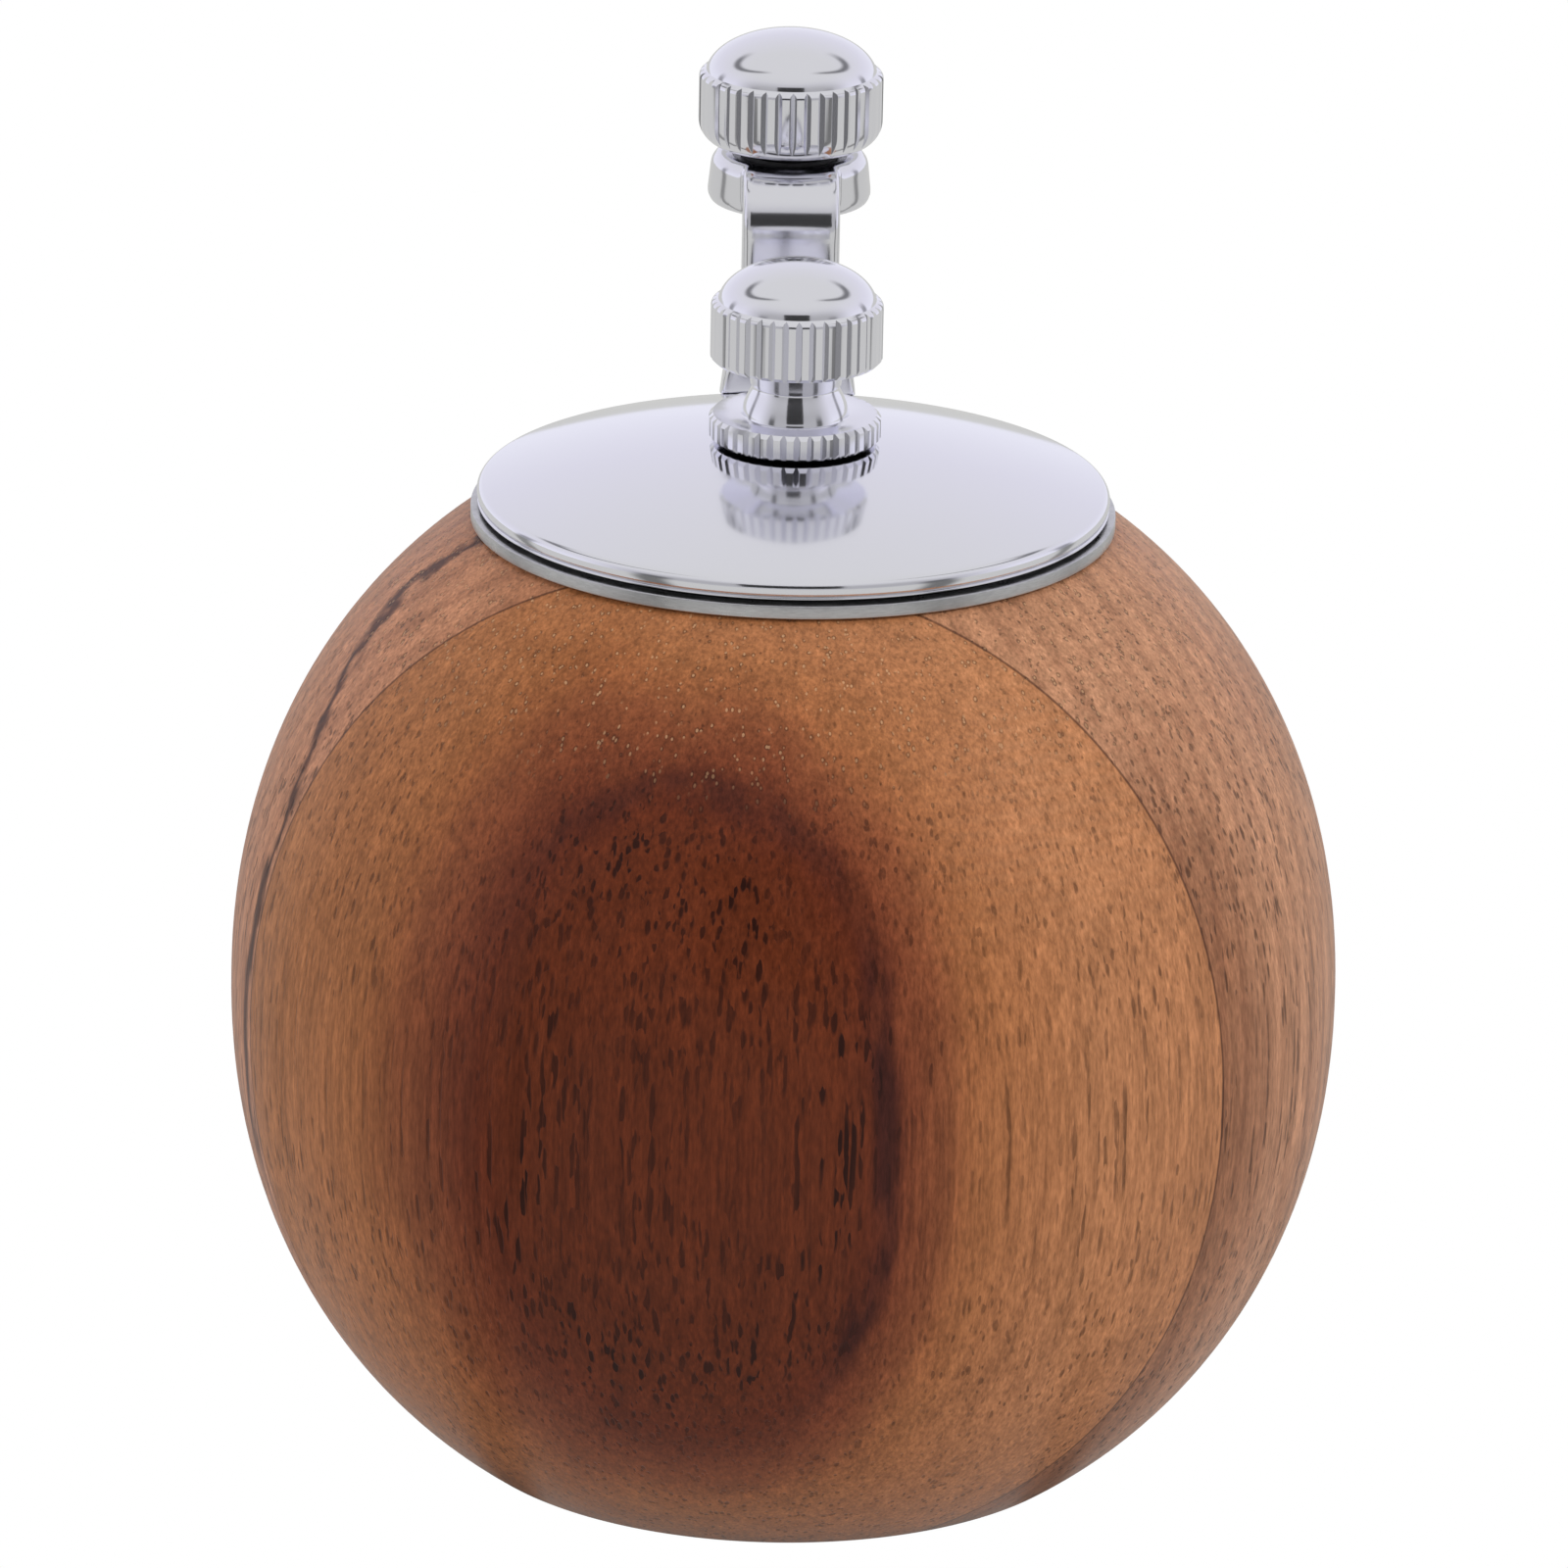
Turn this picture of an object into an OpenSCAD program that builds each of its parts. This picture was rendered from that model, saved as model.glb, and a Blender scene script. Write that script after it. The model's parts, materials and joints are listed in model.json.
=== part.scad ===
// Ball-shaped pepper mill: three glued boards turned to a ball, a domed lid
// with a crank, and a conical grinder at the foot of a square drive shaft.
// Millimetres, +Z up. The origin is the centre of the base, on the table.

/* [Wooden body] */
// Largest diameter of the ball
body_d = 80; // [76:1:90]
// Half height that the ball's curve would have if it weren't cut flat
body_half_h = 41.4; // [40:0.1:44]
// Exponent of the curve: 2 is an ellipse, more is squarer
body_power = 2.117; // [2:0.01:2.4]
// Height of the widest place above the base
body_waist_z = 34.35; // [33:0.05:35]
// Height of the flat top above the base
body_h = 69.4; // [69:0.1:70]
// Thickness of the middle board
board_t = 38; // [37:0.5:40]
// Turn of the glue joints about the upright axis, in degrees
board_turn = 12; // [0:0.1:40]
// Diameter of the pepper chamber
chamber_d = 34; // [33:0.1:34.5]

/* [Seat ring and lid] */
// Outer diameter of the seat ring
ring_d = 46.14; // [45.8:0.02:47]
// Thickness of the seat ring's flange
ring_t = 0.95; // [0.9:0.05:1.1]
// Diameter of the lid
lid_d = 45.28; // [44.8:0.02:45.6]
// Gap between the seat ring and the lid's rim
lid_gap = 0.3; // [0.25:0.05:0.4]
// Radius of the lid's dome
dome_r = 72; // [70:1:75]
// Height of the dome's top above the base
dome_top_z = 75.5; // [75.4:0.05:75.6]
// Thickness of the lid's metal
lid_t = 0.9; // [0.8:0.05:1]

/* [Crank] */
// Distance from the mill's axis to the crank knob's axis
crank_r = 28; // [26:0.5:30]
// Distance from the mill's axis to the front of the crank's foot
foot_y = 19.2; // [19:0.1:19.6]
// Width of the crank's foot where it meets the lid
foot_w = 10.15; // [9:0.05:11]
// Width of the crank's arm
arm_w = 7.1; // [6:0.05:8]
// Thickness of the crank's arm
arm_t = 3; // [2.6:0.1:3.2]
// Height of the crank pad's upper face above the base
pad_top_z = 88.85; // [88.5:0.05:89.2]
// Thickness of the crank's pad
pad_t = 3.75; // [3.2:0.05:4]
// Diameter of the crank's pad
pad_d = 12; // [11:0.1:13]

/* [Knobs] */
// Diameter of the crank knob
knob_d = 13.5; // [13:0.1:14.5]
// Diameter of the adjusting nut's knurled cap and flange
nut_d = 12.3; // [12:0.1:12.6]
// Number of teeth in each knurl
knurl_teeth = 40; // [30:1:48]
// Depth of a knurl's tooth
knurl_depth = 0.4; // [0.3:0.05:0.6]

/* [Drive shaft and grinder] */
// Width across the drive shaft's flats
shaft_w = 5.5; // [5:0.1:5.6]
// Diameter of the shaft's threads
thread_d = 4; // [3.8:0.1:4.2]
// Outer diameter of the grinder's housing
housing_d = 33.8; // [33.6:0.1:33.8]
// Outer diameter of the outer burr
burr_d = 25.8; // [25.6:0.1:25.8]
// Gap between the two burrs at rest, measured level
burr_gap = 0.65; // [0.6:0.05:0.8]
// Number of teeth on the inner burr
burr_teeth = 14; // [10:1:18]

/* [Hidden] */
$fn = 96;

fit = 0.05;             // radial clearance of parts that turn or slide in each other
wood_colour = [0.60, 0.36, 0.20];
steel_colour = [0.72, 0.72, 0.74];
chrome_colour = [0.86, 0.86, 0.90];
black_colour = [0.08, 0.08, 0.08];
iron_colour = [0.40, 0.40, 0.42];

chamber_r = chamber_d / 2;
base_recess_r = chamber_r + 3.5;    // recess in the base for the housing's flange
base_recess_h = 2.7;
profile_steps = 40;                 // straight pieces in the body's outline

ring_top_z = body_h + ring_t;
sleeve_t = 1;                       // wall of the seat ring's pressed sleeve
sleeve_r = chamber_r - sleeve_t;    // clear radius inside the sleeve
sleeve_bottom_z = body_h - 6.4;
rim_recess_r = 21.9;                // shallow recess that the lid bush's rim lies in
rim_recess_h = 0.4;

lid_r = lid_d / 2;
lid_rim_z = ring_top_z + lid_gap;
lid_wall_h = 1.1;
dome_r_in = dome_r - lid_t;
dome_centre_z = dome_top_z - dome_r;

bush_rim_t = rim_recess_h + lid_gap - 2 * fit;
bush_bottom_z = sleeve_bottom_z + 1;
hub_r = 6;
hub_bottom_z = bush_bottom_z - 2;

rivet_y = foot_y + 1.5;
rivet_x = 2.6;
rivet_r = 0.8;
rivet_head_r = 1.4;
rivet_head_z = lid_rim_z + 0.3;     // just under the lid's metal
rivet_head_h = 0.5;
pin_r = 1.9;                        // shank of the pin that the crank knob turns on
pin_head_r = 3;

knob_base_z = pad_top_z + 0.45;
knob_band_z = knob_base_z + 1.95;
knob_band_h = 3.55;
knob_top_z = knob_base_z + 8.45;
bush_r = 4.2;                       // screwed plug that closes the crank knob

nut_z = dome_top_z + 0.02;
nut_flange_h = 1.85;
nut_cap_z = nut_z + 5.83;
nut_cap_h = 4.4;
nut_top_z = nut_z + 13.08;

shaft_top_z = 73.4;                 // end of the square, where the thread begins
thread_top_z = nut_cap_z + 2.8;
rotor_bottom_z = 3.4;
rotor_top_z = 13;
burr_bottom_z = 2.65;
burr_top_z = 11.1;
burr_slope = tan(16);               // radius lost per unit of height
burr_mouth_r = 11.6;                // outer burr's opening at its lower face
housing_top_z = 22.3;
bridge_t = 1.5;
housing_screw_r = chamber_r + 1.75;
bridge_screw_x = 15.3;
spring_wire_r = 0.5;
spring_r = 6;
spring_turns = 4.5;
spring_low = rotor_top_z + fit + 0.9 + spring_wire_r;
spring_high = housing_top_z - 0.05 - spring_wire_r;

// Half outline of the body: radius and height at the angle t of the curve
function outline(t) = [
    body_d / 2 * pow(cos(t), 2 / body_power),
    body_waist_z + sign(t) * body_half_h * pow(sin(abs(t)), 2 / body_power)
];
function outline_angle(h) = asin(pow(h / body_half_h, body_power / 2));
outline_low = -outline_angle(body_waist_z);
outline_high = outline_angle(body_h - body_waist_z);

// Points of an arc in the plane, from angle a0 to angle a1 in n steps
function arc(centre, r, a0, a1, n) = [
    for (i = [0:n]) let (a = a0 + (a1 - a0) * i / n) centre + r * [cos(a), sin(a)]
];

// Straight knurl: a toothed disc of outer radius r and height h
module knurl(r, h) {
    step = 180 / knurl_teeth;
    linear_extrude(h)
        polygon([for (i = [0:2 * knurl_teeth - 1])
            (r - (i % 2) * knurl_depth) * [cos(i * step), sin(i * step)]]);
}

module turned_ball() {
    difference() {
        rotate_extrude($fn = 180)
            polygon(concat(
                [[0, 0]],
                [for (i = [0:profile_steps])
                    outline(outline_low + (outline_high - outline_low) * i / profile_steps)],
                [[0, body_h]]));
        translate([0, 0, -1]) cylinder(r = chamber_r, h = body_h + 2);
        translate([0, 0, -1]) cylinder(r = base_recess_r, h = base_recess_h + 1);
        at_housing_screws() cylinder(r = 0.82, h = 13);
    }
}

// One board of the ball, between two distances from the axis
module board(near, far) {
    color(wood_colour) intersection() {
        turned_ball();
        rotate([0, 0, -board_turn]) translate([-body_d, near, -1])
            cube([2 * body_d, far - near, body_h + 2]);
    }
}

module front_board() { board(-body_d, -board_t / 2); }
module middle_board() { board(-board_t / 2, board_t / 2); }
module rear_board() { board(board_t / 2, body_d); }

module seat_ring() {
    color(steel_colour) rotate_extrude() difference() {
        union() {
            translate([sleeve_r, body_h]) square([ring_d / 2 - sleeve_r, ring_t]);
            translate([sleeve_r, sleeve_bottom_z])
                square([sleeve_t - 0.02, body_h - sleeve_bottom_z + 0.1]);
        }
        translate([sleeve_r - 1, ring_top_z - rim_recess_h])
            square([rim_recess_r - sleeve_r + 1, rim_recess_h + 1]);
    }
}

// Plastic plug that centres the lid in the seat ring; the hub turns in it
module lid_bush() {
    web_z = bush_bottom_z + 2;
    color(black_colour) rotate_extrude() union() {
        translate([sleeve_r - fit - 1.4, bush_bottom_z])
            square([1.4, ring_top_z - rim_recess_h + fit + bush_rim_t - bush_bottom_z]);
        translate([hub_r + fit, web_z]) square([sleeve_r - hub_r - 1, 1.6]);
        translate([hub_r + fit, bush_bottom_z]) square([1.6, 5]);
        translate([sleeve_r - 1, ring_top_z - rim_recess_h + fit])
            square([rim_recess_r - 0.1 - sleeve_r + 1, bush_rim_t]);
    }
}

module lid() {
    color(chrome_colour) difference() {
        rotate_extrude($fn = 180) difference() {
            intersection() {
                translate([0, dome_centre_z]) circle(r = dome_r, $fn = 720);
                translate([0, lid_rim_z]) square([lid_r, 10]);
                union() {
                    translate([0, lid_rim_z]) square([lid_r - 0.3, 10]);
                    translate([0, lid_rim_z]) square([lid_r, lid_wall_h]);
                }
            }
            intersection() {
                translate([0, dome_centre_z]) circle(r = dome_r_in, $fn = 720);
                translate([0, lid_rim_z - 1]) square([lid_r - 1, 10]);
            }
        }
        translate([0, 0, lid_rim_z]) cylinder(d = thread_d + 0.2, h = 10);
        at_rivets() {
            cylinder(r = rivet_r + 0.03, h = 10);
            cylinder(r = rivet_head_r + 0.05, h = rivet_head_h + 0.02);
        }
    }
}

// Hub brazed under the dome, with the square hole that drives the shaft
module lid_hub() {
    groove_z = bush_bottom_z - 1.1;
    color(steel_colour) difference() {
        union() {
            translate([0, 0, hub_bottom_z]) cylinder(r = hub_r, h = dome_top_z - hub_bottom_z);
            translate([0, 0, lid_rim_z + 1.2]) cylinder(r = 11, h = 5);
        }
        difference() {
            translate([0, 0, dome_centre_z]) sphere(r = dome_r + 20, $fn = 360);
            translate([0, 0, dome_centre_z]) sphere(r = dome_r_in - 0.03, $fn = 360);
        }
        translate([0, 0, groove_z]) difference() {
            cylinder(r = hub_r + 1, h = 0.8);
            translate([0, 0, -1]) cylinder(r = hub_r - 0.7, h = 3);
        }
        translate([-shaft_w / 2 - fit, -shaft_w / 2 - fit, hub_bottom_z - 1])
            cube([shaft_w + 2 * fit, shaft_w + 2 * fit, shaft_top_z + 0.85 - hub_bottom_z + 1]);
        translate([0, 0, hub_bottom_z]) cylinder(d = thread_d + 0.2, h = 20);
    }
}

module hub_clip() {
    color(steel_colour) translate([0, 0, bush_bottom_z - 1.05]) difference() {
        cylinder(r = hub_r + 1.6, h = 0.7);
        translate([0, 0, -1]) cylinder(r = hub_r - 0.65, h = 3);
        translate([0, -1.5, -1]) cube([hub_r + 3, 3, 3]);
    }
}

module at_rivets() {
    for (x = [-rivet_x, rivet_x])
        translate([x, rivet_y, rivet_head_z]) children();
}

module foot_rivets() {
    color(steel_colour) at_rivets() {
        cylinder(r = rivet_head_r, h = rivet_head_h);
        cylinder(r = rivet_r, h = 4);
    }
}

// Cast crank: flared foot on the lid, upright arm that bends back, round pad
module crank_arm() {
    foot_h = 8.5;
    arm_foot_z = 71.5;
    bend_r = 4.2;
    bend_in_r = bend_r - arm_t;
    bend = [foot_y + bend_r, pad_top_z - bend_r - 0.1];
    color(chrome_colour) difference() {
        union() {
            // flared foot, seen from the front
            translate([0, foot_y + arm_t, 0]) rotate([90, 0, 0]) linear_extrude(arm_t)
                polygon([
                    [-foot_w / 2, arm_foot_z], [foot_w / 2, arm_foot_z],
                    [foot_w / 2 - 0.3, arm_foot_z + 2.4], [foot_w / 2 - 0.8, arm_foot_z + 4.4],
                    [arm_w / 2, arm_foot_z + foot_h], [-arm_w / 2, arm_foot_z + foot_h],
                    [-foot_w / 2 + 0.8, arm_foot_z + 4.4], [-foot_w / 2 + 0.3, arm_foot_z + 2.4]
                ]);
            // arm, seen from the side
            rotate([90, 0, 90]) translate([0, 0, -arm_w / 2]) linear_extrude(arm_w)
                polygon(concat(
                    [[foot_y + arm_t, arm_foot_z + 4], [foot_y, arm_foot_z + 4]],
                    arc(bend, bend_r, 180, 90, 12),
                    [[crank_r, pad_top_z - 0.1], [crank_r, pad_top_z - 0.1 - arm_t]],
                    arc(bend, bend_in_r, 90, 180, 8)
                ));
            // pad that carries the knob's pin
            translate([0, crank_r, pad_top_z - pad_t]) rotate_extrude()
                polygon([
                    [0, 0], [pad_d / 2 - 0.25, 0], [pad_d / 2, 0.6],
                    [pad_d / 2 - 0.25, pad_t - 0.75], [pad_d / 2 - 0.8, pad_t], [0, pad_t]
                ]);
        }
        translate([0, 0, dome_centre_z]) sphere(r = dome_r, $fn = 720);
        at_rivets() cylinder(r = rivet_r + 0.03, h = 4.05);
        translate([0, crank_r, pad_top_z - pad_t - 1]) cylinder(r = pin_r, h = pad_t + 2);
    }
}

// Pin riveted in the pad; its head holds the knob
module knob_pin() {
    color(steel_colour) translate([0, crank_r, 0]) {
        translate([0, 0, pad_top_z - pad_t - 0.5]) cylinder(r = pin_r + 0.7, h = 0.5);
        translate([0, 0, pad_top_z - pad_t]) cylinder(r = pin_r, h = pad_t + 5);
        translate([0, 0, knob_base_z + 3.2]) cylinder(r = pin_head_r, h = 1.3);
    }
}

module knob_washer() {
    color(black_colour) translate([0, crank_r, pad_top_z + fit]) difference() {
        cylinder(r = 3.6, h = 0.35);
        translate([0, 0, -1]) cylinder(r = pin_r + fit, h = 3);
    }
}

module crank_knob() {
    r = knob_d / 2;
    edge = 1.9;
    color(chrome_colour) translate([0, crank_r, 0]) difference() {
        intersection() {
            union() {
                // body of revolution: hollow under-edge, band, domed top
                rotate_extrude() polygon(concat(
                    [[0, knob_base_z], [4.6, knob_base_z]],
                    arc([r - knurl_depth - edge, knob_band_z + 0.1], edge, -72, 0, 8),
                    [for (i = [0:12]) let (a = i * 7.5)
                        [(r - knurl_depth) * cos(a),
                         knob_band_z + knob_band_h - 0.2
                             + (knob_top_z - knob_band_z - knob_band_h + 0.2) * sin(a)]]
                ));
                translate([0, 0, knob_band_z - 0.6]) knurl(r, knob_band_h + 1.2);
            }
            // rounds the ends of the teeth
            rotate_extrude() polygon(concat(
                [[0, knob_base_z], [4.8, knob_base_z]],
                arc([r - edge, knob_band_z], edge, -75, 0, 8),
                [for (i = [0:12]) let (a = i * 7.5)
                    [r * cos(a), knob_band_z + knob_band_h - 0.4
                        + (knob_top_z - knob_band_z - knob_band_h + 0.4) * sin(a)]]
            ));
        }
        translate([0, 0, knob_base_z - 1]) cylinder(r = bush_r, h = 6.2);
    }
}

// Plug in the underside of the knob: its hole runs on the pin, below the head
module knob_bush() {
    color(steel_colour) translate([0, crank_r, knob_base_z]) difference() {
        cylinder(r = bush_r - 0.02, h = 3.1);
        translate([0, 0, -1]) cylinder(r = pin_r + fit, h = 6);
    }
}

module adjusting_nut() {
    r = nut_d / 2;
    neck_z = nut_z + nut_flange_h;
    neck_h = nut_cap_z - neck_z;
    dome_h = nut_top_z - nut_cap_z - nut_cap_h;
    color(chrome_colour) difference() {
        union() {
            translate([0, 0, nut_z]) knurl(r, nut_flange_h);
            rotate_extrude() polygon(concat(
                [[0, nut_z + 0.5], [4.4, neck_z - 0.3], [4.4, neck_z]],
                [for (i = [0:10]) let (u = i / 10)
                    [2.95 + 1.1 * pow(abs(1 - 1.8 * u), 2.2), neck_z + 0.1 + (neck_h - 0.9) * u]],
                [[3.45, nut_cap_z - 0.6], [3.45, nut_cap_z + 0.5], [0, nut_cap_z + 0.5]]
            ));
            translate([0, 0, nut_cap_z]) knurl(r, nut_cap_h);
            translate([0, 0, nut_cap_z + nut_cap_h]) rotate_extrude()
                polygon(concat([[0, -0.5], [r - 0.6, -0.5]],
                    [for (i = [0:12]) let (a = i * 7.5) [(r - 0.35) * cos(a), dome_h * sin(a)]]));
        }
        translate([0, 0, nut_z - 1]) cylinder(d = thread_d + 2 * fit, h = thread_top_z + 1.9 - nut_z);
    }
}

module drive_shaft() {
    color(steel_colour) union() {
        translate([-shaft_w / 2, -shaft_w / 2, rotor_bottom_z + 0.6])
            cube([shaft_w, shaft_w, shaft_top_z - rotor_bottom_z - 0.6]);
        translate([0, 0, shaft_top_z]) cylinder(d = thread_d, h = thread_top_z - shaft_top_z);
        translate([0, 0, 1]) cylinder(d = thread_d, h = rotor_bottom_z);
    }
}

module shaft_hole(z0, z1) {
    translate([-shaft_w / 2 - 0.03, -shaft_w / 2 - 0.03, z0])
        cube([shaft_w + 0.06, shaft_w + 0.06, z1 - z0]);
}

// Round sleeve on the square shaft, so that it can turn in the bridge
module shaft_bush() {
    color(black_colour) difference() {
        translate([0, 0, housing_top_z - 2]) cylinder(r = 5, h = bridge_t + 4);
        shaft_hole(housing_top_z - 3, housing_top_z + bridge_t + 3);
    }
}

function rotor_r(z) = burr_mouth_r - (z - burr_bottom_z) * burr_slope - burr_gap;

// One groove along a cone's side, turned a little to make the teeth spiral
module groove(r, width, depth, lean) {
    slope = atan(burr_slope);
    translate([r, 0, 0]) rotate([lean, -slope, 0])
        translate([-depth, 0, 0]) rotate([0, 0, -45]) translate([0, 0, -4])
            cube([width, width, 24]);
}

module inner_burr() {
    step = 360 / burr_teeth;
    color(iron_colour) difference() {
        translate([0, 0, rotor_bottom_z])
            cylinder(r1 = rotor_r(rotor_bottom_z), r2 = rotor_r(rotor_top_z),
                h = rotor_top_z - rotor_bottom_z);
        for (i = [0:burr_teeth - 1]) rotate([0, 0, i * step])
            translate([0, 0, rotor_bottom_z]) groove(rotor_r(rotor_bottom_z), 2, 1.1, 14);
        shaft_hole(rotor_bottom_z - 1, rotor_top_z + 1);
    }
}

module rotor_washer() {
    color(steel_colour) translate([0, 0, rotor_bottom_z - 0.6]) difference() {
        cylinder(r = 5, h = 0.6);
        translate([0, 0, -1]) cylinder(d = thread_d + 0.1, h = 3);
    }
}

module rotor_nut() {
    color(steel_colour) translate([0, 0, 1]) difference() {
        cylinder(r = 4.04, h = rotor_bottom_z - 1.6, $fn = 6);
        translate([0, 0, -1]) cylinder(d = thread_d + 0.04, h = 5);
    }
}

module thrust_washer() {
    color(steel_colour) translate([0, 0, rotor_top_z + fit]) difference() {
        cylinder(r = 7.5, h = 0.8);
        translate([0, 0, -1]) cylinder(r = 4.3, h = 3);
    }
}

// Round wire wound between the thrust washer and the bridge
module spring() {
    sides = 8;
    rings = 80;
    function wire(i, j) = let (
        u = i / rings, a = 360 * spring_turns * u, b = 360 * j / sides,
        r = spring_r + spring_wire_r * cos(b)
    ) [r * cos(a), r * sin(a), spring_low + (spring_high - spring_low) * u + spring_wire_r * sin(b)];
    color(steel_colour) polyhedron(
        points = [for (i = [0:rings]) for (j = [0:sides - 1]) wire(i, j)],
        faces = concat(
            [[for (j = [0:sides - 1]) j]],
            [for (i = [0:rings - 1]) for (j = [0:sides - 1]) let (k = (j + 1) % sides)
                [i * sides + j, (i + 1) * sides + j, (i + 1) * sides + k, i * sides + k]],
            [[for (j = [sides - 1:-1:0]) rings * sides + j]]
        ));
}

module at_housing_screws() {
    for (i = [0:2]) rotate([0, 0, -board_turn + 120 * i])
        translate([housing_screw_r, 0, 0]) children();
}

module at_bridge_screws() {
    for (x = [-bridge_screw_x, bridge_screw_x]) translate([x, 0, 0]) children();
}

// Round cup that holds the outer burr, let into the base from below
module grinder_housing() {
    flange_z = 0.8;
    lip_z = burr_bottom_z - 0.05;
    color(black_colour) difference() {
        union() {
            translate([0, 0, flange_z])
                cylinder(r = base_recess_r - 0.1, h = base_recess_h - flange_z - 0.02);
            translate([0, 0, flange_z]) cylinder(d = housing_d, h = housing_top_z - flange_z);
        }
        cylinder(r = 12.2, h = housing_top_z);
        translate([0, 0, lip_z]) cylinder(d = burr_d + 0.1, h = housing_top_z);
        translate([0, 0, burr_top_z + 0.05]) cylinder(r = 13.8, h = housing_top_z);
        at_housing_screws() {
            cylinder(r = 0.85, h = 5);
            translate([0, 0, flange_z - 0.01]) cylinder(r1 = 1.62, r2 = 0.85, h = 0.9);
        }
        at_bridge_screws() translate([0, 0, housing_top_z - 5]) cylinder(r = 0.7, h = 6);
    }
}

module outer_burr() {
    teeth = 2 * burr_teeth;
    color(iron_colour) difference() {
        translate([0, 0, burr_bottom_z]) cylinder(d = burr_d, h = burr_top_z - burr_bottom_z);
        translate([0, 0, burr_bottom_z])
            cylinder(r1 = burr_mouth_r, r2 = burr_mouth_r - (burr_top_z - burr_bottom_z) * burr_slope,
                h = burr_top_z - burr_bottom_z);
        for (i = [0:teeth - 1]) rotate([0, 0, i * 360 / teeth])
            translate([0, 0, burr_bottom_z]) groove(burr_mouth_r - 0.5, 0.9, 0.2, 10);
    }
}

// Bar across the housing that centres the shaft and carries the spring
module bearing_bridge() {
    color(steel_colour) translate([0, 0, housing_top_z]) difference() {
        union() {
            intersection() {
                cylinder(r = 16.7, h = bridge_t);
                translate([-20, -4, 0]) cube([40, 8, bridge_t]);
            }
            cylinder(r = 7.6, h = bridge_t);
        }
        translate([0, 0, -1]) cylinder(r = 5 + fit, h = 5);
        at_bridge_screws() translate([0, 0, -1]) cylinder(r = 0.75, h = 5);
    }
}

module bridge_screws() {
    color(steel_colour) at_bridge_screws() {
        translate([0, 0, housing_top_z - 4.5]) cylinder(r = 0.68, h = bridge_t + 4.6);
        translate([0, 0, housing_top_z + bridge_t]) cylinder(r = 1.3, h = 0.9);
    }
}

module housing_screws() {
    color(steel_colour) at_housing_screws() {
        translate([0, 0, 0.85]) cylinder(r1 = 1.55, r2 = 0.8, h = 0.8);
        translate([0, 0, 1.6]) cylinder(r = 0.8, h = 10.5);
    }
}

front_board();
middle_board();
rear_board();
seat_ring();
lid_bush();
lid();
lid_hub();
hub_clip();
crank_arm();
foot_rivets();
knob_pin();
knob_washer();
crank_knob();
knob_bush();
adjusting_nut();
drive_shaft();
shaft_bush();
inner_burr();
rotor_washer();
rotor_nut();
thrust_washer();
spring();
grinder_housing();
outer_burr();
bearing_bridge();
bridge_screws();
housing_screws();
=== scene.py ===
# Looks of a ball-shaped pepper mill: the turned boards, the chromed fittings, the
# materials of all that shows, and the studio around it. Sizes are in millimetres in the
# functions that draw outlines, and in metres in every mesh.

import json
import math

import bpy
from mathutils import Matrix, Vector


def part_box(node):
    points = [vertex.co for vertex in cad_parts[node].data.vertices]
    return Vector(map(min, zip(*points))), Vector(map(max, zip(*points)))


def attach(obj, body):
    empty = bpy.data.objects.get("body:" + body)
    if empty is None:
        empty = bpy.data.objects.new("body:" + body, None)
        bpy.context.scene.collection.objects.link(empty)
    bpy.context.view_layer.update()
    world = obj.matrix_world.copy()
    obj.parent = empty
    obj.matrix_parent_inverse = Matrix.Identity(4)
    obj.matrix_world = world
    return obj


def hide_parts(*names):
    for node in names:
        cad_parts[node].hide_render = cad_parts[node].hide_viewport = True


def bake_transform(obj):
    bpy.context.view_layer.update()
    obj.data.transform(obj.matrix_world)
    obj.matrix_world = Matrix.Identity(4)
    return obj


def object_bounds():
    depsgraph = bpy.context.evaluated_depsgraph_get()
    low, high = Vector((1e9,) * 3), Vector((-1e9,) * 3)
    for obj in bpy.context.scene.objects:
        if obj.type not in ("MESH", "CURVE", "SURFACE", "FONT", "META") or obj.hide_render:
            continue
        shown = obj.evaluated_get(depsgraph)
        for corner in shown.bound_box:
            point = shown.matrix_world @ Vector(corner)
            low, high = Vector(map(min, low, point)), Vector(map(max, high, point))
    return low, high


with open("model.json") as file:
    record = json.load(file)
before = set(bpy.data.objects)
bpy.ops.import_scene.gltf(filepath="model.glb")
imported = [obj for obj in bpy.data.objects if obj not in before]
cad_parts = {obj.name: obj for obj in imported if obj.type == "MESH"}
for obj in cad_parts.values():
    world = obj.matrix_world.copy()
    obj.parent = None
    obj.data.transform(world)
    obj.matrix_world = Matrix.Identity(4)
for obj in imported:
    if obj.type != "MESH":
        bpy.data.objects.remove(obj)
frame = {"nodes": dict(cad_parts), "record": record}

bl_info = {
    "name": "Ball pepper mill",
    "version": (1, 0, 0),
    "blender": (4, 5, 0),
    "location": "View3D > Sidebar > Pepper Mill",
    "description": "Models and finishes the visible pieces of a ball-shaped pepper mill",
    "category": "Add Mesh",
}

MM = 0.001
CAD_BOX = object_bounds()


def corners(node):
    """Lowest and highest corner of a CAD node, in millimetres."""
    return [[round(value / MM, 3) for value in corner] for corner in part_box(node)]


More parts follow.
